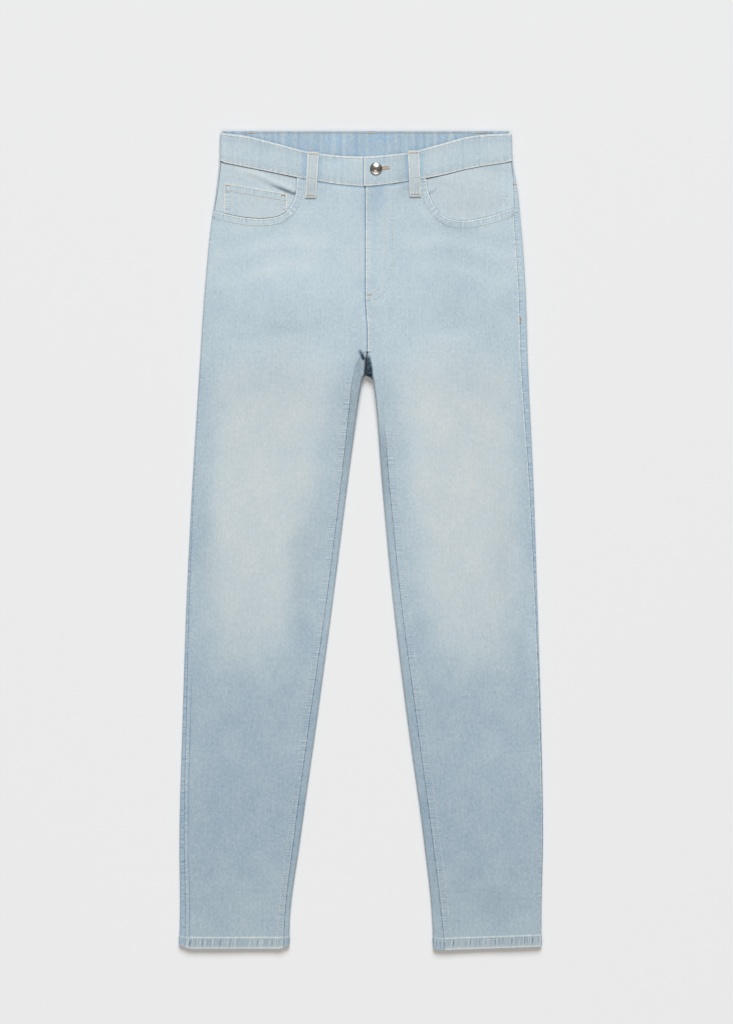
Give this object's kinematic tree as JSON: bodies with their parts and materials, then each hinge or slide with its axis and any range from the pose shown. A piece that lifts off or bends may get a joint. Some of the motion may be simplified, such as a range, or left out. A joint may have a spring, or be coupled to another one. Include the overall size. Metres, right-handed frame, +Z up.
{
  "type": "mom jeans, laid flat",
  "caption": "Light-wash high-waisted mom jeans laid flat, front up: straight tapered legs, curved front pockets, coin pocket, waistband with shank button, belt loops, turned hems.",
  "frame": {"origin": "on the surface that the jeans lie on, under the middle of their box", "axes": "+X to the wearer's left, +Y from the hems to the waist, +Z up, out of the front of the jeans"},
  "size_m": [0.4554, 1.0228, 0.0126],
  "materials": {
    "denim": "matt light-wash cotton twill",
    "denim_pale": "matt light-wash cotton twill, paler",
    "nickel": "polished nickel plate"
  },
  "bodies": {
    "root": {"waistband": "denim_pale", "front_right": "denim", "front_left": "denim", "back_right": "denim", "back_left": "denim", "yoke_right": "denim", "yoke_left": "denim", "pocket_facing_right": "denim_pale", "pocket_facing_left": "denim_pale", "coin_pocket": "denim_pale", "back_pocket_right": "denim", "back_pocket_left": "denim", "belt_loop_front_right": "denim_pale", "belt_loop_front_left": "denim_pale", "belt_loop_back_right": "denim", "belt_loop_back_centre": "denim", "belt_loop_back_left": "denim", "button": "nickel"}
  },
  "joints": []
}
